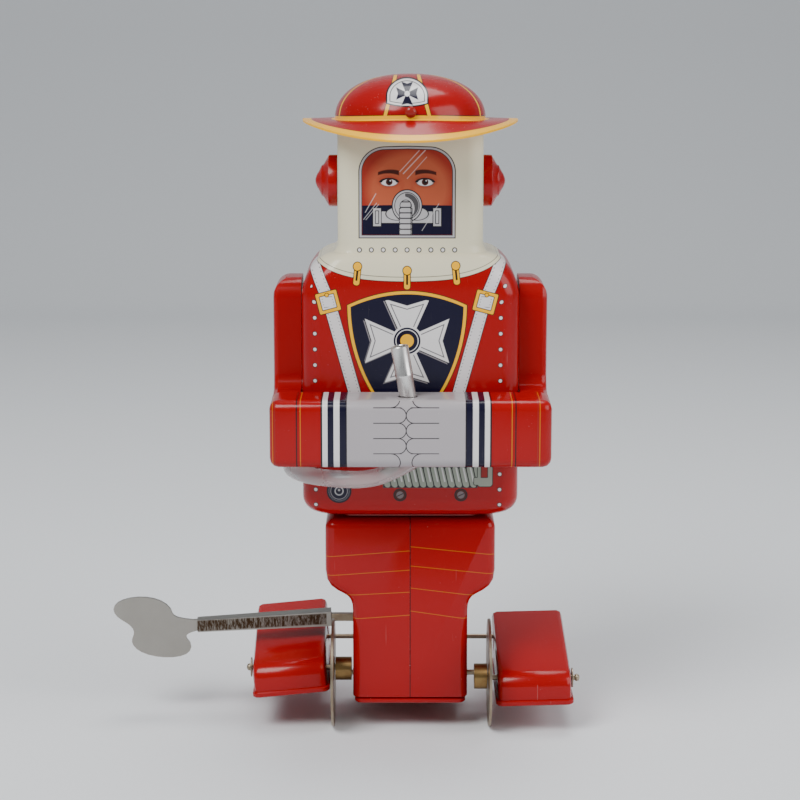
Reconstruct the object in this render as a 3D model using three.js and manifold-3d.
// Tin wind-up fireman robot, about 200 mm tall, as an assembly of its separate pieces.
// Millimetres, +Z up. The robot faces -Y and stands on the plane Z = 0; its left hand is on the +X side.
// It rolls on two thin driven wheels and a rear roller. A crank pin on each wheel carries a hollow shoe
// round in a small circle, so that the shoes seem to step while the clockwork in the legs unwinds.
import * as THREE from "three";
import { mergeVertices } from "three/addons/utils/BufferGeometryUtils.js";
import Module from "manifold-3d";

const wasm = await Module();
wasm.setup();

// ---------- driving dimensions ----------
const TIN = 0.6; // wall of a stamped shell
const GAP = 0.3; // clearance between neighbouring pieces
const DEG = Math.PI / 180;
const RIGHT = -1; // the robot's own right side is at -X
const LEFT = 1;

const TORSO = {
  halfWidth: 32.5,
  halfDepth: 21,
  bottom: 67.3,
  shoulder: 133,
  corner: 6,
  bottomRound: 6,
};
const HEAD = { halfWidth: 21.7, halfDepth: 17, foot: 147, top: 184, corner: 5 };
const HELMET = {
  halfWidth: 22.7,
  halfLength: 24.5,
  base: 185.7,
  height: 13.4,
  fullness: 0.9, // below 1 the dome is fuller than an ellipse
  lift: 1.2, // the dome's foot stands this much higher at the front and rear than at the sides
  brimSide: 9.7,
  brimFront: 11,
  brimRear: 14,
  frontDroop: 5.6,
  rearDroop: 6.6,
};
const EAR = { z: 167.1, radius: 7.8, rim: 2.8, cone: 3.9 };
const ARM = { inner: 32.8, outer: 41.2, top: 138.5, front: -11, rear: 9, round: 5.5 };
const FIST = { halfWidth: 41.2, bottom: 86.3, top: 106.3, front: -40, rear: -24, corner: 3 };
const NOZZLE = { radius: 2.6, bore: 1.9, topX: -3.3, topZ: 121.3, lean: 0.165, y: -31.5, tailZ: 93.5 };
const HOSE = {
  radius: 2.6,
  z: 81.9,
  frontY: -34.2,
  sideX: -36,
  bend: 21,
  rearY: 10.5,
  spigot: 1.9,
  spigotX: -10.5,
};
const LEG = { topHalf: 25.8, lowHalf: 17.5, halfDepth: 17.6, top: 66, bottom: 10.2, edge: 2.6 };
const BASE = { bottom: 8.2, thickness: 1.6 };

const AXLE = { y: -12, z: 16.5, radius: 0.8 };
const WHEEL = { radius: 16.5, thickness: 0.8 };
const CRANK = { radius: 2.2, pinRadius: 0.8, lead: 30 * DEG }; // lead: right pin above the horizontal
const SHOE = { width: 23.8, toe: -8, heel: 40, sole: -6.4, flange: 1.6, toeTop: 3.2, heelTop: 11.4 };
// Where each side's wheel, boss, shoe and washer sit, as distances from the middle, and how the shoe leans.
const SIDES = {
  left: {
    side: LEFT,
    wheel: 24,
    boss: 19.7,
    bossRadius: 3.9,
    shoe: 38,
    lean: -1.5,
    washer: 49.7,
    pinEnd: 51.9,
  },
  right: {
    side: RIGHT,
    wheel: 23.3,
    boss: 18,
    bossRadius: 3.6,
    shoe: 37,
    lean: -5.5,
    washer: 48.8,
    pinEnd: 50.2,
  },
};
const STUD = { y: 14, z: 20.6, radius: 0.75, end: 30.5 };
const ROLLER = { y: 13, z: 4, radius: 4, half: 8.5, axle: 0.7 };

const MODULE = 0.75; // great wheel, drive pinion and idler pinion
const FINE_MODULE = 0.6; // idler gear and governor pinion
const TEETH = { great: 40, drive: 10, idlerPinion: 10, idler: 32, governor: 8, ratchet: 12, star: 12 };
const PLATE = { inner: 9, thickness: 1, front: -15.6, rear: 15.8, bottom: 10.6, top: 64 };
const GEAR_X = { great: 4, pinion: 3.2, idler: 6.8, star: 0.2, ratchet: 2.6 };

const greatDistance = (MODULE * (TEETH.great + TEETH.drive)) / 2;
const ARBOR = { y: 0, z: AXLE.z + Math.sqrt(greatDistance ** 2 - AXLE.y ** 2), half: 1.15 };
const idlerDistance = (MODULE * (TEETH.great + TEETH.idlerPinion)) / 2;
const IDLER = { y: 6, z: ARBOR.z + Math.sqrt(idlerDistance ** 2 - 36) };
const governorDistance = (FINE_MODULE * (TEETH.idler + TEETH.governor)) / 2;
const GOVERNOR = { y: IDLER.y - 11, z: IDLER.z + Math.sqrt(governorDistance ** 2 - 121) };
const PALLET = { y: GOVERNOR.y, z: GOVERNOR.z + 7.4 };

// ---------- materials ----------
const paint = (color, roughness = 0.3, metalness = 0.1) =>
  new THREE.MeshStandardMaterial({ color, roughness, metalness });
const RED = paint(0xb5101a);
const GREY = paint(0xb4b2b4);
const STEEL = paint(0x8f8a84, 0.35, 1);
const BRASS = paint(0xa5813c, 0.35, 1);
const ALUMINIUM = paint(0xc9c6c2, 0.3, 1);
const VINYL = paint(0xe6dede, 0.25, 0);
VINYL.transparent = true;
VINYL.opacity = 0.5;

// ---------- solids ----------
/** A closed three.js geometry as a manifold-3d solid. */
function solid(geometry) {
  const bare = geometry.index ? geometry.toNonIndexed() : geometry.clone();
  bare.deleteAttribute("normal");
  bare.deleteAttribute("uv");
  const merged = mergeVertices(bare, 1e-4);
  const triangles = [];
  for (let i = 0; i < merged.index.count; i += 3) {
    const [a, b, c] = merged.index.array.slice(i, i + 3);
    if (a !== b && b !== c && c !== a) triangles.push(a, b, c);
  }
  return new wasm.Manifold(
    new wasm.Mesh({
      numProp: 3,
      vertProperties: merged.attributes.position.array,
      triVerts: new Uint32Array(triangles),
    }),
  );
}

/** A manifold-3d solid as a named three.js mesh. */
function mesh(name, body, material) {
  const made = body.getMesh();
  const points = new Float32Array(made.numVert * 3);
  for (let i = 0; i < made.numVert; i++) {
    points.set(made.vertProperties.subarray(i * made.numProp, i * made.numProp + 3), i * 3);
  }
  const geometry = new THREE.BufferGeometry();
  geometry.setAttribute("position", new THREE.BufferAttribute(points, 3));
  geometry.setIndex(new THREE.BufferAttribute(made.triVerts, 1));
  geometry.computeVertexNormals();
  const piece = new THREE.Mesh(geometry, material);
  piece.name = name;
  return piece;
}

/** Adds meshes to a new group placed at (x, y, z). */
function group(x, y, z, ...pieces) {
  const made = new THREE.Group();
  made.position.set(x, y, z);
  made.add(...pieces);
  return made;
}

function boxOf(x0, x1, y0, y1, z0, z1) {
  const g = new THREE.BoxGeometry(x1 - x0, y1 - y0, z1 - z0);
  return solid(g.translate((x0 + x1) / 2, (y0 + y1) / 2, (z0 + z1) / 2));
}

/** A rod along X from x0 to x1, centred on (y, z). */
function rodX(radius, x0, x1, y = 0, z = 0, sides = 16) {
  const g = new THREE.CylinderGeometry(radius, radius, Math.abs(x1 - x0), sides);
  return solid(g.rotateZ(Math.PI / 2).translate((x0 + x1) / 2, y, z));
}

/** A rod along Y from y0 to y1, centred on (x, z). */
function rodY(radius, y0, y1, x, z, sides = 16) {
  return solid(new THREE.CylinderGeometry(radius, radius, y1 - y0, sides).translate(x, (y0 + y1) / 2, z));
}

function extruded(shape, depth, bevel = 0, bevelSegments = 2, curveSegments = 4) {
  return new THREE.ExtrudeGeometry(shape, {
    depth: depth - 2 * bevel,
    bevelEnabled: bevel > 0,
    bevelThickness: bevel,
    bevelSize: bevel,
    bevelOffset: -bevel,
    bevelSegments,
    curveSegments,
    steps: 1,
  }).translate(0, 0, bevel);
}

/** A (y, z) outline extruded along X from x0 to x1. */
function alongX(shape, x0, x1, bevel, bevelSegments, curveSegments) {
  const g = extruded(shape, x1 - x0, bevel, bevelSegments, curveSegments);
  return solid(g.rotateX(Math.PI / 2).rotateZ(Math.PI / 2).translate(x0, 0, 0));
}

/** An (x, z) outline extruded along Y from y0 to y1. */
function alongY(shape, y0, y1, bevel, bevelSegments, curveSegments) {
  const g = extruded(shape, y1 - y0, bevel, bevelSegments, curveSegments);
  return solid(g.rotateX(Math.PI / 2).translate(0, y1, 0));
}

/** An (x, y) outline extruded along Z from z0 to z1. */
function alongZ(shape, z0, z1, bevel, bevelSegments, curveSegments) {
  return solid(extruded(shape, z1 - z0, bevel, bevelSegments, curveSegments).translate(0, 0, z0));
}

function roundedRect(x0, x1, y0, y1, r) {
  const s = new THREE.Shape();
  s.moveTo(x0 + r, y0);
  s.lineTo(x1 - r, y0);
  s.absarc(x1 - r, y0 + r, r, -Math.PI / 2, 0);
  s.lineTo(x1, y1 - r);
  s.absarc(x1 - r, y1 - r, r, 0, Math.PI / 2);
  s.lineTo(x0 + r, y1);
  s.absarc(x0 + r, y1 - r, r, Math.PI / 2, Math.PI);
  s.lineTo(x0, y0 + r);
  s.absarc(x0 + r, y0 + r, r, Math.PI, 1.5 * Math.PI);
  return s;
}

/**
 * A body whose level sections are rounded rectangles: a cylinder whose rings are moved out to
 * section(z) = { a, b, r }, the half-width, half-depth and corner radius at that height.
 */
function lofted(levels, section) {
  const perCorner = 6;
  const ring = 4 * perCorner;
  const g = new THREE.CylinderGeometry(1, 1, levels.length - 1, ring, levels.length - 1);
  const p = g.attributes.position;
  for (let i = 0; i < p.count; i++) {
    const level = Math.round(p.getY(i) + (levels.length - 1) / 2);
    const step = (Math.round((Math.atan2(p.getX(i), p.getZ(i)) / (2 * Math.PI)) * ring) + ring) % ring;
    const out = Math.hypot(p.getX(i), p.getZ(i)) > 0.5;
    const quarter = Math.floor(step / perCorner);
    const angle = (quarter + (step % perCorner) / (perCorner - 1)) * (Math.PI / 2);
    const { a, b, r } = section(levels[level]);
    const sx = quarter === 0 || quarter === 3 ? 1 : -1;
    const sy = quarter < 2 ? 1 : -1;
    const x = out ? sx * (a - r) + r * Math.cos(angle) : 0;
    const y = out ? sy * (b - r) + r * Math.sin(angle) : 0;
    p.setXYZ(i, x, y, levels[level]);
  }
  return solid(g);
}

// ---------- body and head shells ----------
/** Half-width of the body and head at height z, from the rounded bottom over the shoulders to the hood. */
function bodySize(z, wide, headSize, shoulderZ) {
  const { bottom, bottomRound } = TORSO;
  if (z < bottom + bottomRound) {
    const down = (bottom + bottomRound - z) / bottomRound;
    return wide - bottomRound + bottomRound * Math.sqrt(Math.max(0, 1 - down * down));
  }
  if (z < shoulderZ) return wide;
  const rise = (z - shoulderZ) / (HEAD.foot - shoulderZ);
  if (rise < 1) return headSize + (wide - headSize) * Math.sqrt(1 - rise * rise * 0.985);
  const flare = Math.max(0, 1 - (z - HEAD.foot) / 3);
  return headSize + (wide - headSize) * Math.sqrt(0.015) * flare * flare;
}

function bodySection(z) {
  const climb = THREE.MathUtils.clamp((z - TORSO.shoulder) / 14, 0, 1);
  const corner = THREE.MathUtils.lerp(TORSO.corner, HEAD.corner, climb);
  return {
    a: bodySize(z, TORSO.halfWidth, HEAD.halfWidth, TORSO.shoulder),
    b: bodySize(z, TORSO.halfDepth, HEAD.halfDepth, TORSO.shoulder + 4),
    r: corner + 3 * Math.max(0, 1 - Math.abs(z - 143) / 8),
  };
}

function bodyShells() {
  const levels = [];
  for (let k = 0; k <= 4; k++) {
    levels.push(TORSO.bottom + TORSO.bottomRound * (1 - Math.cos((k / 8) * Math.PI)));
  }
  levels.push(TORSO.shoulder);
  const rise = HEAD.foot - TORSO.shoulder;
  for (let k = 1; k <= 8; k++) levels.push(TORSO.shoulder + rise * Math.sin((k / 16) * Math.PI));
  levels.push(HEAD.foot + 1.2, HEAD.foot + 3, HEAD.top);
  const outer = lofted(levels, bodySection);
  const inner = lofted(
    levels.map((z, i) => (i === 0 ? z + TIN : i === levels.length - 1 ? z - TIN : z)),
    (z) => {
      const s = [bodySection(z - TIN), bodySection(z), bodySection(z + TIN)];
      const least = (key) => Math.min(...s.map((v) => v[key])) - TIN;
      return { a: least("a"), b: least("b"), r: s[1].r - TIN };
    },
  );
  const shell = outer.subtract(inner);
  const seam = GAP / 2;
  const front = shell.subtract(boxOf(-50, 50, -seam, 50, 50, 200));
  const { halfDepth } = TORSO;
  const spigotHole = rodY(HOSE.spigot + GAP, halfDepth - 5, halfDepth + 5, HOSE.spigotX, HOSE.z);
  const back = shell.subtract(boxOf(-50, 50, -50, seam, 50, 200)).subtract(spigotHole);
  return [mesh("body_front_shell", front, RED), mesh("body_back_shell", back, RED)];
}

// ---------- helmet ----------
/** A dome and a brim whose front and rear slope down, turned from one sheet and then shaped. */
function helmetShell() {
  const outline = [];
  const domeSteps = 7;
  const brimSteps = 2;
  for (let k = 0; k < domeSteps; k++) {
    const climb = (k / domeSteps) * (Math.PI / 2);
    outline.push([Math.sin(climb) ** HELMET.fullness, Math.cos(climb) ** HELMET.fullness, 0]);
  }
  outline.push([1, 0, 0]);
  for (let k = 1; k <= brimSteps; k++) outline.push([1, 0, k / brimSteps]);
  // First a flat disc with one point per outline step: height 0 is the lower face, height 1 the upper.
  const lower = outline.map((_, i) => new THREE.Vector2(i, 0));
  const upper = outline.map((_, i) => new THREE.Vector2(i, 1)).reverse();
  const points = lower.concat(upper);
  const turned = new THREE.LatheGeometry(points, 32);
  const p = turned.attributes.position;
  for (let i = 0; i < p.count; i++) {
    const radius = Math.hypot(p.getX(i), p.getZ(i));
    const index = Math.round(radius);
    const isUpper = p.getY(i) > 0.5;
    const [dome, rise, brim] = outline[index];
    const angle = Math.atan2(p.getX(i), p.getZ(i));
    const c = radius < 0.5 ? 1 : Math.cos(angle);
    const s = radius < 0.5 ? 0 : Math.sin(angle);
    const wall = isUpper ? 0 : TIN;
    const shrink = brim > 0 ? 0 : wall;
    const reach = s < 0 ? HELMET.brimFront : HELMET.brimRear;
    const x = c * (dome * (HELMET.halfWidth - shrink) + brim * HELMET.brimSide);
    const y = s * (dome * (HELMET.halfLength - shrink) + brim * reach);
    const droop = (s < 0 ? HELMET.frontDroop : HELMET.rearDroop) * brim;
    const top = HELMET.base + rise * HELMET.height + s * s * (HELMET.lift * (1 - rise) - droop);
    const isFoot = dome === 1 && brim === 0;
    p.setXYZ(i, x, y, top - (isFoot ? 0 : wall));
  }
  return solid(turned);
}

function helmet() {
  const shell = helmetShell();
  const rivetZ = HELMET.base + 3.2;
  const face = -HELMET.halfLength * Math.sqrt(1 - 0.09);
  const hole = rodY(1.1, face - 5, face + 5, 0, rivetZ, 12);
  const dot = new THREE.SphereGeometry(1.7, 16, 10).scale(1, 0.5, 1);
  const rivetHead = solid(dot.translate(0, face - 1.8, rivetZ));
  const shank = rodY(0.75, face - 1.8, face + 1.6, 0, rivetZ, 12);
  return [mesh("helmet", shell.subtract(hole), RED), mesh("helmet_rivet", rivetHead.add(shank), RED)];
}

/** A red ear cap: a short drum with a ringed cone, turned about X. */
function ear(name, side) {
  const { radius, rim, cone } = EAR;
  const profile = [
    [0, 0],
    [radius, 0],
    [radius, rim],
    [radius * 0.62, rim + cone * 0.36],
    [radius * 0.6, rim + cone * 0.5],
    [radius * 0.3, rim + cone * 0.8],
    [1.2, rim + cone],
    [0, rim + cone],
  ].map(([r, h]) => new THREE.Vector2(r, h));
  const turned = new THREE.LatheGeometry(profile, 28).rotateZ(-side * (Math.PI / 2));
  const piece = mesh(name, solid(turned), RED);
  piece.position.set(side * (HEAD.halfWidth + GAP), 0, EAR.z);
  return piece;
}

// ---------- arms ----------
/** An upper arm whose elbow reaches forward behind the fists. */
function upperArm(name, side) {
  const { inner, outer, top, front, rear, round } = ARM;
  const crown = 6;
  const elbowFront = FIST.rear + GAP;
  const s = new THREE.Shape();
  s.moveTo(elbowFront, FIST.bottom + 0.7);
  s.lineTo(rear - 5, FIST.bottom + 0.7);
  s.absarc(rear - 5, FIST.bottom + 5.7, 5, -Math.PI / 2, 0);
  s.lineTo(rear, top - crown);
  s.absarc(rear - crown, top - crown, crown, 0, Math.PI / 2);
  s.lineTo(front + crown, top);
  s.absarc(front + crown, top - crown, crown, Math.PI / 2, Math.PI);
  s.lineTo(front, FIST.top + 3.3);
  s.absarc(front - 4, FIST.top + 3.3, 4, 0, -Math.PI / 2, true);
  s.lineTo(elbowFront, FIST.top - 0.7);
  const body = alongX(s, inner - 3, outer, 1.4, 2, 5).subtract(boxOf(0, inner, -60, 40, 0, 200));
  // The outer top corner is also rounded as seen from the front.
  const frontView = roundedRect(inner - 20, outer, FIST.bottom - 10, top, round);
  const shaped = body.intersect(alongY(frontView, -60, 40, 0, 1, 6));
  return mesh(name, side === LEFT ? shaped : shaped.mirror([1, 0, 0]), RED);
}

/** The box of sleeves and joined fists, open at the back, with holes for the nozzle and the hose. */
function fists() {
  const { halfWidth, bottom, top, front, rear, corner } = FIST;
  const outside = roundedRect(front, rear + 8, bottom, top, corner);
  const outer = alongX(outside, -halfWidth, halfWidth, corner - 0.4, 3, 4);
  const inside = roundedRect(front + TIN, rear + 12, bottom + TIN, top - TIN, corner - TIN);
  const inner = alongX(inside, -halfWidth + TIN, halfWidth - TIN, corner - TIN - 0.4, 2, 4);
  const tray = outer.subtract(inner).subtract(boxOf(-60, 60, rear, 20, 0, 200));
  const nozzleHole = nozzleRod(NOZZLE.radius + GAP, 60, 130);
  const hoseSlot = boxOf(-10, 7, HOSE.frontY - 2.9, HOSE.frontY + 4.2, bottom - 1, bottom + 3);
  const tip = boxOf(-20, 20, -45, -20, bottom + 4, top + 5);
  const plateHalf = ARM.inner - GAP;
  const plate = roundedRect(-plateHalf, plateHalf, bottom + 0.8, top - 0.8, 1.4);
  const back = alongY(plate, rear + GAP, rear + GAP + TIN, 0, 1, 3);
  return [
    mesh("forearm_front_shell", tray.subtract(nozzleHole.intersect(tip)).subtract(hoseSlot), GREY),
    mesh("forearm_back_plate", back, RED),
  ];
}

/** A rod along the nozzle's leaning axis, between two heights. */
function nozzleRod(radius, z0, z1) {
  const g = new THREE.CylinderGeometry(radius, radius, z1 - z0, 20).rotateX(Math.PI / 2);
  g.translate(0, 0, (z0 + z1) / 2 - NOZZLE.topZ).rotateY(Math.atan(-NOZZLE.lean));
  return solid(g.translate(NOZZLE.topX, NOZZLE.y, NOZZLE.topZ));
}

function nozzle() {
  const { radius, bore, topZ, tailZ } = NOZZLE;
  const tube = nozzleRod(radius, tailZ, topZ).subtract(nozzleRod(bore, topZ - 12, topZ + 3));
  const band = nozzleRod(radius + 0.14, topZ - 9.2, topZ - 7.6);
  const collar = band.subtract(nozzleRod(bore, topZ - 12, topZ));
  return mesh("nozzle", tube.add(collar), ALUMINIUM);
}

// ---------- hose ----------
const HOSE_START = new THREE.Vector3(6.5, HOSE.frontY + 1.2, 90.8);
const HOSE_SLOPE = 30 * DEG; // the hose leaves its socket to the right and down at this angle
const HOSE_HEADING = new THREE.Vector3(-Math.cos(HOSE_SLOPE), 0, -Math.sin(HOSE_SLOPE));

/** A short cylinder on the line of the hose's first stretch, from a to b along it. */
function hoseStartRod(radius, a, b) {
  const g = new THREE.CylinderGeometry(radius, radius, b - a, 20).translate(0, (a + b) / 2, 0);
  g.rotateX(Math.PI / 2).rotateY(-Math.PI / 2 - HOSE_SLOPE);
  return solid(g.translate(HOSE_START.x, HOSE_START.y, HOSE_START.z));
}

/** A quarter turn about (centreX, centreY), from an angle in degrees, on the hose's level. */
function hoseCorner(centreX, centreY, from) {
  const points = [];
  for (let k = 0; k <= 6; k++) {
    const angle = (from - 15 * k) * DEG;
    const x = centreX + HOSE.bend * Math.cos(angle);
    const y = centreY + HOSE.bend * Math.sin(angle);
    points.push(new THREE.Vector3(x, y, HOSE.z));
  }
  return points;
}

/** The hose's centre line: out of the fists, round the right side on one level, and round the back. */
function hoseRoute() {
  const { frontY, sideX, bend, rearY, z } = HOSE;
  return new THREE.CatmullRomCurve3(
    [
      ...[0, 3, 7].map((d) => HOSE_START.clone().add(HOSE_HEADING.clone().multiplyScalar(d))),
      new THREE.Vector3(-5, frontY + 0.8, 84.5),
      new THREE.Vector3(-10, frontY + 0.3, 82.6),
      ...hoseCorner(sideX + bend, frontY + bend, -90),
      new THREE.Vector3(sideX, (frontY + bend + rearY) / 2, z),
      ...hoseCorner(sideX + bend, rearY, 180),
    ],
    false,
    "centripetal",
  );
}

/** The hose, the ferrule that holds its front end behind the fists, and the elbow on the robot's back. */
function hosePieces() {
  const { radius, z, spigot, spigotX, rearY, bend, sideX } = HOSE;
  const section = new THREE.Shape();
  section.absarc(0, 0, radius, 0, 2 * Math.PI);
  const tube = new THREE.ExtrudeGeometry(section, { extrudePath: hoseRoute(), steps: 44, curveSegments: 5 });
  const bracket = rodY(1.5, HOSE_START.y, FIST.rear, HOSE_START.x + 4, HOSE_START.z + 2.3);
  const socket = hoseStartRod(radius + 0.9, -7.5, -GAP).add(bracket);
  const mouth = sideX + bend + GAP;
  const elbow = rodX(radius + 0.6, mouth, spigotX + radius + 1, rearY + bend, z, 20);
  const neck = rodY(spigot, TORSO.halfDepth - 2.5, rearY + bend, spigotX, z);
  return [
    mesh("hose", solid(tube), VINYL),
    mesh("hose_socket", socket, ALUMINIUM),
    mesh("hose_elbow", elbow.add(neck), ALUMINIUM),
  ];
}

// ---------- legs ----------
/** The front view of both legs as one casing: wide thighs that step in to narrow shins. */
function legOutline(inset, bottom) {
  const s = new THREE.Shape();
  const top = LEG.top - inset;
  const wide = LEG.topHalf - inset;
  const low = LEG.lowHalf - inset;
  s.moveTo(-low, bottom);
  s.lineTo(low, bottom);
  s.lineTo(low, 37);
  s.bezierCurveTo(low, 40, low + 0.8, 41.4, low + 2.6, 42.3);
  s.bezierCurveTo(low + 5.5, 43.8, wide, 45, wide, 50);
  s.lineTo(wide, top - 3);
  s.absarc(wide - 3, top - 3, 3, 0, Math.PI / 2);
  s.lineTo(-wide + 3, top);
  s.absarc(-wide + 3, top - 3, 3, Math.PI / 2, Math.PI);
  s.lineTo(-wide, 50);
  s.bezierCurveTo(-wide, 45, -low - 5.5, 43.8, -low - 2.6, 42.3);
  s.bezierCurveTo(-low - 0.8, 41.4, -low, 40, -low, 37);
  return s;
}

/** One half of the leg casing, open at the seam and underneath. */
function legShell(name, side) {
  const { halfDepth, edge, bottom } = LEG;
  const outer = alongY(legOutline(0, bottom - 5), -halfDepth, halfDepth, edge, 3, 4);
  const core = alongY(legOutline(TIN, bottom - 5), -halfDepth + TIN, halfDepth - TIN, edge - TIN, 2, 4);
  const whole = outer.subtract(core).subtract(boxOf(-50, 50, -50, 50, 0, bottom));
  const half = side === LEFT ? boxOf(GAP / 2, 50, -50, 50, 0, 100) : boxOf(-50, -GAP / 2, -50, 50, 0, 100);
  const reach = side * 40;
  let shell = whole
    .intersect(half)
    .subtract(rodX(AXLE.radius + 0.5, 0, reach, AXLE.y, AXLE.z, 12))
    .subtract(rodX(STUD.radius + GAP, 0, reach, STUD.y, STUD.z, 12));
  if (side === RIGHT) shell = shell.subtract(rodX(2.2, 0, reach, ARBOR.y, ARBOR.z, 16));
  return mesh(name, shell, RED);
}

/** The floor of the legs, with two ears bent down for the roller's axle. */
function basePlate() {
  const { y, z, half, axle } = ROLLER;
  const half0 = LEG.lowHalf - 0.5;
  const depth = LEG.halfDepth - 0.2;
  const footprint = roundedRect(-half0, half0, -depth, depth, 2.6);
  let plate = alongZ(footprint, BASE.bottom, BASE.bottom + BASE.thickness, 0.4, 1, 3);
  for (const side of [LEFT, RIGHT]) {
    const x = side > 0 ? half + GAP + 0.3 : -half - GAP - 0.3 - 0.9;
    const lug = new THREE.Shape();
    lug.moveTo(y - 3, BASE.bottom + 0.5);
    lug.lineTo(y - 2, z);
    lug.absarc(y, z, 2, Math.PI, 2 * Math.PI);
    lug.lineTo(y + 3, BASE.bottom + 0.5);
    plate = plate.add(alongX(lug, x, x + 0.9, 0, 1, 5));
  }
  return mesh("base_plate", plate.subtract(rodX(axle + GAP, -20, 20, y, z, 12)), RED);
}

// ---------- shoes ----------
function shoeOutline(inset, bottom) {
  const { toe, heel, toeTop, heelTop } = SHOE;
  const slope = Math.atan2(heelTop - toeTop, heel - toe - 5);
  const s = new THREE.Shape();
  s.moveTo(toe + inset, bottom);
  s.lineTo(heel - 0.6 - inset, bottom);
  s.absarc(heel - 3.6, heelTop - 2.6, 2.4 - inset, 0, Math.PI / 2 + slope);
  s.absarc(toe + 5, toeTop - 4.5, 5 - inset, Math.PI / 2 + slope, Math.PI);
  return s;
}

/** Where a crank pin stands from the axle: the two are opposite each other. */
function crankOffset(side) {
  return { y: -side * CRANK.radius * Math.cos(CRANK.lead), z: -side * CRANK.radius * Math.sin(CRANK.lead) };
}

/** A shoe as a hollow stamping with a flange, and its sole plate, about its crank pin as origin. */
function shoe(label) {
  const { side, shoe: centre, lean: roll } = SIDES[label];
  const { width, toe, heel, sole, flange } = SHOE;
  const half = width / 2;
  const brim = 0.7; // how far the flange stands out from the walls
  const upper = alongX(shoeOutline(0, sole + 0.2), -half + brim, half - brim, 1.6, 2, 5);
  const rim = alongZ(roundedRect(-half, half, toe - brim, heel, 2.4), sole, sole + flange, 0.3, 1, 3);
  const hollow = alongX(shoeOutline(TIN, sole - 3), -half + brim + TIN, half - brim - TIN, 1, 1, 4);
  const clear = TIN + GAP;
  const recess = roundedRect(-half + TIN, half - TIN, toe - brim + TIN, heel - TIN, 1.9);
  const pan = alongZ(recess, sole - 1, sole + 0.9, 0, 1, 3);
  const insole = roundedRect(-half + clear, half - clear, toe - brim + clear, heel - clear, 1.6);
  const lean = (body) => body.rotate([0, roll, 0]).translate([side * centre, 0, 0]);
  // The guide stud stands still while the shoe goes round, so its window in the inner wall is a wide circle.
  const wall = side * (centre - half);
  const reach = CRANK.radius + STUD.radius + GAP;
  const window = rodX(reach, wall - 2, wall + 4, STUD.y - AXLE.y, STUD.z - AXLE.z, 20);
  const pinHole = rodX(CRANK.pinRadius + 0.4, side * 20, side * 60, 0, 0, 14);
  const shell = lean(upper.add(rim).subtract(hollow).subtract(pan)).subtract(pinHole).subtract(window);
  const plate = lean(alongZ(insole, sole + 0.1, sole + 0.6, 0, 1, 3));
  const { y, z } = crankOffset(side);
  return group(
    0,
    AXLE.y + y,
    AXLE.z + z,
    mesh("shoe_shell_" + label, shell, RED),
    mesh("shoe_sole_" + label, plate, RED),
  );
}

// ---------- wheels and drive axle ----------
/** One end of the drive: a wheel with its boss, and the crank pin with the washer that holds the shoe. */
function driveEnd(label) {
  const { side, wheel, boss, bossRadius, washer, pinEnd } = SIDES[label];
  const { y, z } = crankOffset(side);
  const along = (radius, from, to, sides = 16) => rodX(radius, side * from, side * to, y, z, sides);
  const disc = rodX(WHEEL.radius, side * wheel, side * (wheel + WHEEL.thickness), 0, 0, 48);
  const core = rodX(bossRadius, side * boss, side * (wheel - GAP), y * 0.75, z * 0.75, 28);
  const axleBore = rodX(AXLE.radius + GAP, 0, side * (wheel - 2.7), 0, 0, 14);
  const pinBore = along(CRANK.pinRadius + GAP, wheel - 2.3, wheel + 2);
  const ball = new THREE.SphereGeometry(1.15, 14, 8).scale(0.8, 1, 1);
  const head = solid(ball.translate(side * (pinEnd - 0.6), y, z));
  const ring = along(3, washer, washer + 0.4, 24).subtract(along(CRANK.pinRadius + GAP, 40, 60));
  return [
    mesh("wheel_" + label, disc.subtract(pinBore), STEEL),
    mesh("wheel_boss_" + label, core.subtract(axleBore).subtract(pinBore), BRASS),
    mesh("crank_pin_" + label, along(CRANK.pinRadius, wheel - 2, pinEnd - 0.6).add(head), STEEL),
    mesh("washer_" + label, ring, STEEL),
  ];
}

function driveTrain() {
  const axle = rodX(AXLE.radius, -SIDES.right.wheel + 3, SIDES.left.wheel - 3);
  const phase = directionTo(AXLE, ARBOR) + Math.PI / TEETH.drive;
  const pinion = gear(TEETH.drive, MODULE, 2.6, AXLE.radius + GAP, phase);
  return group(
    0,
    AXLE.y,
    AXLE.z,
    mesh("drive_axle", axle, STEEL),
    placed(mesh("drive_pinion", pinion, BRASS), GEAR_X.pinion),
    ...driveEnd("left"),
    ...driveEnd("right"),
  );
}

// ---------- clockwork ----------
/** The direction from one arbor to another, as an angle from +Y towards +Z. */
function directionTo(from, to) {
  return Math.atan2(to.z - from.z, to.y - from.y);
}

/** A spur gear from X = 0 to its thickness, with a tooth centred at the angle phase. */
function gear(teeth, module, thickness, bore, phase) {
  const pitch = (module * teeth) / 2;
  const tip = pitch + 0.8 * module;
  const root = pitch - 1.05 * module;
  const s = new THREE.Shape();
  const step = (2 * Math.PI) / teeth;
  for (let t = 0; t < teeth; t++) {
    const flank = [
      [root, -0.27],
      [tip, -0.1],
      [tip, 0.1],
      [root, 0.27],
    ];
    flank.forEach(([r, share], i) => {
      const angle = phase + (t + share) * step;
      if (t === 0 && i === 0) s.moveTo(r * Math.cos(angle), r * Math.sin(angle));
      else s.lineTo(r * Math.cos(angle), r * Math.sin(angle));
    });
  }
  const body = alongX(s, 0, thickness, 0, 1, 1);
  return body.subtract(rodX(bore, -1, thickness + 1, 0, 0, 14));
}

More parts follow.
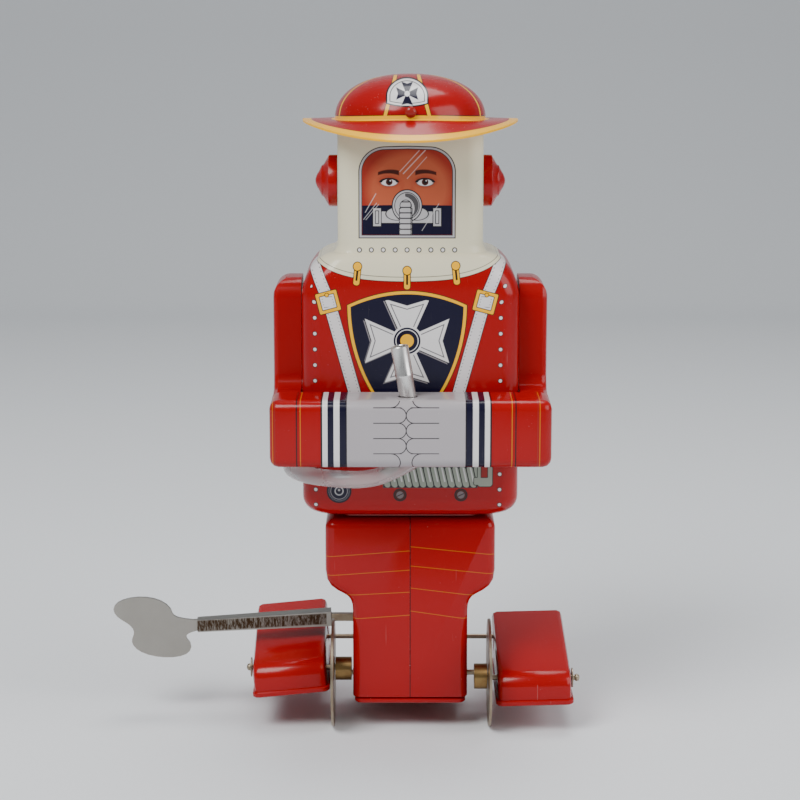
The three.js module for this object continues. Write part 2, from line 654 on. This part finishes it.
/** A wheel with pointed teeth, for the ratchet (leaning teeth) and the star wheel (upright teeth). */
function pointedWheel(teeth, tip, root, thickness, bore, lean, phase) {
  const s = new THREE.Shape();
  const step = (2 * Math.PI) / teeth;
  for (let t = 0; t < teeth; t++) {
    const rootAngle = phase + (t - 0.5) * step;
    const tipAngle = phase + (t + lean) * step;
    if (t === 0) s.moveTo(root * Math.cos(rootAngle), root * Math.sin(rootAngle));
    else s.lineTo(root * Math.cos(rootAngle), root * Math.sin(rootAngle));
    s.lineTo(tip * Math.cos(tipAngle), tip * Math.sin(tipAngle));
  }
  const body = alongX(s, 0, thickness, 0, 1, 1);
  return body.subtract(rodX(bore, -1, thickness + 1, 0, 0, 14));
}

function placed(piece, x, y = 0, z = 0) {
  piece.position.set(x, y, z);
  return piece;
}

function motorPlate(name, side) {
  const { inner, thickness, front, rear, bottom, top } = PLATE;
  const x0 = side === LEFT ? inner : -inner - thickness;
  const sheet = roundedRect(front, rear, bottom, top, 3);
  let plate = alongX(sheet, x0, x0 + thickness, 0, 1, 4);
  for (const [spot, radius] of [
    [AXLE, AXLE.radius],
    [ARBOR, 1.8],
    [IDLER, 0.8],
    [GOVERNOR, 0.6],
    [PALLET, 0.6],
    [STUD, STUD.radius],
    ...PILLARS.map((spot) => [spot, 0.9]),
  ]) {
    plate = plate.subtract(rodX(radius + GAP, -20, 20, spot.y, spot.z, 12));
  }
  if (side === RIGHT) plate = plate.subtract(rodX(0.9 + GAP, -20, 0, SPRING_POST.y, SPRING_POST.z, 12));
  return mesh(name, plate, STEEL);
}

const PILLARS = [
  { name: "pillar_rear_low", y: 12.4, z: 13.6 },
  { name: "pillar_front", y: -13.4, z: 46 },
  { name: "pillar_rear_top", y: 12.8, z: 61 },
];
const SPRING_POST = { y: 11.4, z: ARBOR.z + 5.6, radius: 1.2 };

/** A turned pillar between the motor plates, with a riveted spigot at each end. */
function pillar(spot) {
  const { inner, thickness } = PLATE;
  const end = inner + thickness + 0.5;
  const body = rodX(1.5, -inner + GAP, inner - GAP, 0, 0, 14).add(rodX(0.9, -end, end, 0, 0, 12));
  return placed(mesh(spot.name, body, STEEL), 0, spot.y, spot.z);
}

/** The mainspring: a flat strip wound about the arbor, its outer end hooked round its post. */
function mainspring() {
  const turns = 4.25;
  const inside = 2.5;
  const outside = 11;
  const strip = 0.4;
  const steps = 68;
  const hookAngle = Math.atan2(SPRING_POST.z - ARBOR.z, SPRING_POST.y - ARBOR.y);
  const at = (k, offset) => {
    const t = k / steps;
    const angle = hookAngle - (1 - t) * turns * 2 * Math.PI;
    const r = inside + (outside - inside) * t + offset;
    return new THREE.Vector2(r * Math.cos(angle), r * Math.sin(angle));
  };
  const s = new THREE.Shape();
  const outline = [];
  for (let k = 0; k <= steps; k++) outline.push(at(k, strip / 2));
  for (let k = steps; k >= 0; k--) outline.push(at(k, -strip / 2));
  s.setFromPoints(outline);
  return placed(mesh("mainspring", alongX(s, -6, 0.6, 0, 1, 1), STEEL), 0, ARBOR.y, ARBOR.z);
}

/** The post on the right motor plate that holds the mainspring's outer end. */
function springPost() {
  const { y, z, radius } = SPRING_POST;
  const tenon = rodX(0.9, -PLATE.inner - PLATE.thickness - 0.5, 0, 0, 0, 12);
  const body = rodX(radius, -PLATE.inner + GAP, 1).add(tenon);
  return placed(mesh("spring_post", body, STEEL), 0, y, z);
}

/** The winding arbor, squared at its outer end, with the ratchet and the key on it. */
function keyPieces() {
  const { half } = ARBOR;
  const square = boxOf(-30.5, -PLATE.inner - 1.6, -half, half, -half, half);
  const arbor = square.add(rodX(1.8, -PLATE.inner - 2, PLATE.inner + 1.6, 0, 0, 16));
  const ratchet = pointedWheel(TEETH.ratchet, 5, 4, 1, 1.8 + GAP, -0.42, 0);
  return group(
    0,
    ARBOR.y,
    ARBOR.z,
    mesh("key_arbor", arbor, STEEL),
    placed(mesh("ratchet_wheel", ratchet, STEEL), GEAR_X.ratchet),
    windingKey(),
  );
}

const KEY = {
  start: -24.5,
  shank: 42,
  mouthHalf: 2.3,
  neckHalf: 1.9,
  socketHalf: 1.65,
  droop: 3.5, // degrees that the key sags below the level
  turn: 4, // degrees that it is turned about its own length
  skew: 0.45, // the upper lobe of the bow stands further out than the lower
  bowHalf: 10.2,
  sheet: 0.9,
};

/** The key, folded from one sheet: a square tapering tube for the arbor and a flat two-lobed bow. */
function windingKey() {
  const { shank, bowHalf, sheet } = KEY;
  // Local frame: the key lies along +X from its socket mouth, and is turned to point to -X below.
  const radii = [KEY.neckHalf * Math.SQRT2, KEY.mouthHalf * Math.SQRT2];
  const taper = new THREE.CylinderGeometry(...radii, shank, 4, 1).rotateY(Math.PI / 4);
  const tube = solid(taper.rotateZ(-Math.PI / 2).translate(shank / 2, 0, 0));
  const hole = KEY.socketHalf;
  const socket = boxOf(-1, 9.5, -hole, hole, -hole, hole);
  const inner = shank + 5.4;
  const middle = shank + 13.2;
  const end = shank + 23.1;
  const bow = new THREE.Shape();
  bow.moveTo(shank - 7, -1.6);
  bow.lineTo(shank + 0.5, -1.8);
  bow.bezierCurveTo(shank + 3, -2.2, inner + 0.4, -2.8, inner + 0.2, -4.2);
  bow.bezierCurveTo(inner - 1, -7.6, middle - 5.4, -bowHalf, middle, -bowHalf);
  bow.bezierCurveTo(middle + 5.6, -bowHalf, end, -8.2, end, -5.4);
  bow.bezierCurveTo(end, -3, end - 2.8, -2.2, end - 2.8, 0);
  bow.bezierCurveTo(end - 2.8, 2.2, end, 3, end, 5.4);
  bow.bezierCurveTo(end, 8.2, middle + 5.6, bowHalf, middle, bowHalf);
  bow.bezierCurveTo(middle - 5.4, bowHalf, inner - 1, 7.6, inner + 0.2, 4.2);
  bow.bezierCurveTo(inner + 0.4, 2.8, shank + 3, 2.2, shank + 0.5, 1.8);
  bow.lineTo(shank - 7, 1.6);
  const outline = bow.getPoints(6).map(({ x, y }) => new THREE.Vector2(x - KEY.skew * y, y));
  const plate = alongZ(new THREE.Shape(outline), -sheet / 2, sheet / 2, 0, 1, 1);
  const key = tube
    .subtract(socket)
    .add(plate.rotate([90, 0, 0]))
    .rotate([180 - KEY.turn, 0, 0])
    .rotate([0, 0, 180])
    .rotate([0, -KEY.droop, 0])
    .translate([KEY.start, 0, 0]);
  return mesh("winding_key", key, STEEL);
}

/** The great wheel with its click and click spring riveted on its face, beside the ratchet. */
function greatWheel() {
  const phase = directionTo(ARBOR, AXLE);
  const wheel = gear(TEETH.great, MODULE, 1, 1.8 + GAP, phase);
  const pivot = CLICK;
  const holed = wheel.subtract(rodX(0.6 + GAP, -1, 2, pivot.y, pivot.z, 12));
  const rivet = rodX(0.6, GEAR_X.ratchet - GEAR_X.great - 0.3, 1.4, 0, 0, 12);
  const leaf = [
    [-3.2, 8.9],
    [4.4, 6.8],
    [4.5, 7.1],
    [-3.2, 9.3],
  ].map(([y, z]) => new THREE.Vector2(y, z));
  const spring = alongX(new THREE.Shape(leaf), 0, 0.9).add(boxOf(0, 1.1, -4.4, -3, 8.6, 9.7));
  return group(
    0,
    ARBOR.y,
    ARBOR.z,
    placed(mesh("great_wheel", holed, BRASS), GEAR_X.great),
    placed(mesh("click_rivet", rivet, STEEL), GEAR_X.great, pivot.y, pivot.z),
    placed(mesh("click_spring", spring, STEEL), GEAR_X.ratchet),
  );
}

const CLICK = { y: 7.4, z: 5.4 };

/** The click: a pawl that drops into the ratchet's teeth, about its rivet. */
function click() {
  const s = new THREE.Shape();
  s.moveTo(0.9, -1.2);
  s.absarc(0, 0, 1.5, -0.93, 1.9);
  s.lineTo(-5.4, 0.3);
  s.lineTo(-6, -0.95);
  s.lineTo(-5.6, -1.1);
  s.lineTo(-4.2, -0.95);
  s.lineTo(-0.9, -1.2);
  const body = alongX(s, 0, 0.9, 0, 1, 4).subtract(rodX(0.6 + GAP, -1, 2, 0, 0, 12));
  return placed(mesh("click", body, STEEL), GEAR_X.ratchet, ARBOR.y + CLICK.y, ARBOR.z + CLICK.z);
}

function arborRod(name, radius) {
  const end = PLATE.inner + PLATE.thickness + 0.6;
  return mesh(name, rodX(radius, -end, end, 0, 0, 12), STEEL);
}

function idler() {
  const toGreat = directionTo(IDLER, ARBOR);
  const pinion = gear(TEETH.idlerPinion, MODULE, 2.6, 0.8 + GAP, toGreat + idlerMesh());
  const wheel = gear(TEETH.idler, FINE_MODULE, 1, 0.8 + GAP, directionTo(IDLER, GOVERNOR));
  return group(
    0,
    IDLER.y,
    IDLER.z,
    arborRod("idler_arbor", 0.8),
    placed(mesh("idler_pinion", pinion, BRASS), GEAR_X.pinion),
    placed(mesh("idler_gear", wheel, BRASS), GEAR_X.idler),
  );
}

/** How far the idler pinion's tooth stands from the line to the arbor, to meet the great wheel's gap. */
function idlerMesh() {
  const greatStep = (2 * Math.PI) / TEETH.great;
  const ahead = (directionTo(ARBOR, IDLER) - directionTo(ARBOR, AXLE)) / greatStep;
  const share = ahead - Math.floor(ahead); // how far past a great wheel tooth the line of centres is
  return ((0.5 + share) * 2 * Math.PI) / TEETH.idlerPinion;
}

function governor() {
  const toIdler = directionTo(GOVERNOR, IDLER);
  const pinion = gear(TEETH.governor, FINE_MODULE, 2.2, 0.6 + GAP, toIdler + Math.PI / TEETH.governor);
  const star = pointedWheel(TEETH.star, 4.4, 3, 0.9, 0.6 + GAP, 0, Math.PI / 2);
  return group(
    0,
    GOVERNOR.y,
    GOVERNOR.z,
    arborRod("governor_arbor", 0.6),
    placed(mesh("governor_pinion", pinion, BRASS), GEAR_X.idler - 0.6),
    placed(mesh("star_wheel", star, BRASS), GEAR_X.star),
  );
}

/** The pallet: a rocking yoke whose two points straddle the star wheel and hold its speed down. */
function pallet() {
  const reach = 4.9 * Math.SQRT1_2; // the points stand 45 degrees either side, over gaps of the star wheel
  const drop = PALLET.z - GOVERNOR.z - reach;
  const s = new THREE.Shape();
  s.moveTo(-1.3, 1);
  s.lineTo(1.3, 1);
  s.lineTo(reach + 1.1, -drop + 1.2);
  s.lineTo(reach - 0.05, -drop);
  s.lineTo(reach + 0.25, -drop + 1.5);
  s.lineTo(0.6, -1.4);
  s.lineTo(-0.6, -1.4);
  s.lineTo(-reach - 0.25, -drop + 1.5);
  s.lineTo(-reach + 0.05, -drop);
  s.lineTo(-reach - 1.1, -drop + 1.2);
  const yoke = alongX(s, 0, 0.9, 0, 1, 1).subtract(rodX(0.6 + GAP, -1, 2, 0, 0, 12));
  const rocker = placed(mesh("pallet", yoke, STEEL), GEAR_X.star);
  return group(0, PALLET.y, PALLET.z, arborRod("pallet_arbor", 0.6), rocker);
}

/** A fixed stud from a motor plate out through the leg, on which the back of a shoe rides. */
function guideStud(name, side) {
  const body = rodX(STUD.radius, side * (PLATE.inner - 0.6), side * STUD.end, STUD.y, STUD.z, 14);
  return mesh(name, body, STEEL);
}

function roller() {
  const { y, z, radius, half, axle } = ROLLER;
  const drum = rodX(radius, -half, half, 0, 0, 32).subtract(rodX(axle + GAP, -20, 20, 0, 0, 12));
  const wire = rodX(axle, -half - 2.2, half + 2.2, 0, 0, 12);
  return group(0, y, z, mesh("rear_roller", drum, STEEL), mesh("roller_axle", wire, STEEL));
}

/** The narrow plate that joins the body to the legs. */
function waistPlate() {
  const z0 = LEG.top + GAP;
  const sheet = alongZ(roundedRect(-20, 20, -14, 14, 2), z0, TORSO.bottom - GAP, 0, 1, 3);
  return mesh("waist_plate", sheet, RED);
}

// ---------- the robot ----------
const robot = new THREE.Group();
robot.name = "tin_fireman_robot";
robot.add(
  ...helmet(),
  ...bodyShells(),
  ear("ear_left", LEFT),
  ear("ear_right", RIGHT),
  upperArm("upper_arm_left", LEFT),
  upperArm("upper_arm_right", RIGHT),
  ...fists(),
  nozzle(),
  ...hosePieces(),
  waistPlate(),
  legShell("leg_shell_left", LEFT),
  legShell("leg_shell_right", RIGHT),
  basePlate(),
  motorPlate("motor_plate_left", LEFT),
  motorPlate("motor_plate_right", RIGHT),
  ...PILLARS.map(pillar),
  guideStud("guide_stud_left", LEFT),
  guideStud("guide_stud_right", RIGHT),
  springPost(),
  mainspring(),
  keyPieces(),
  greatWheel(),
  click(),
  idler(),
  governor(),
  pallet(),
  driveTrain(),
  shoe("left"),
  shoe("right"),
  roller(),
);

// The origin is the middle of the ground that the whole robot, with its key, stands over.
const box = new THREE.Box3().setFromObject(robot);
const middle = box.getCenter(new THREE.Vector3());
robot.position.set(-middle.x, -middle.y, -box.min.z);

export default robot;
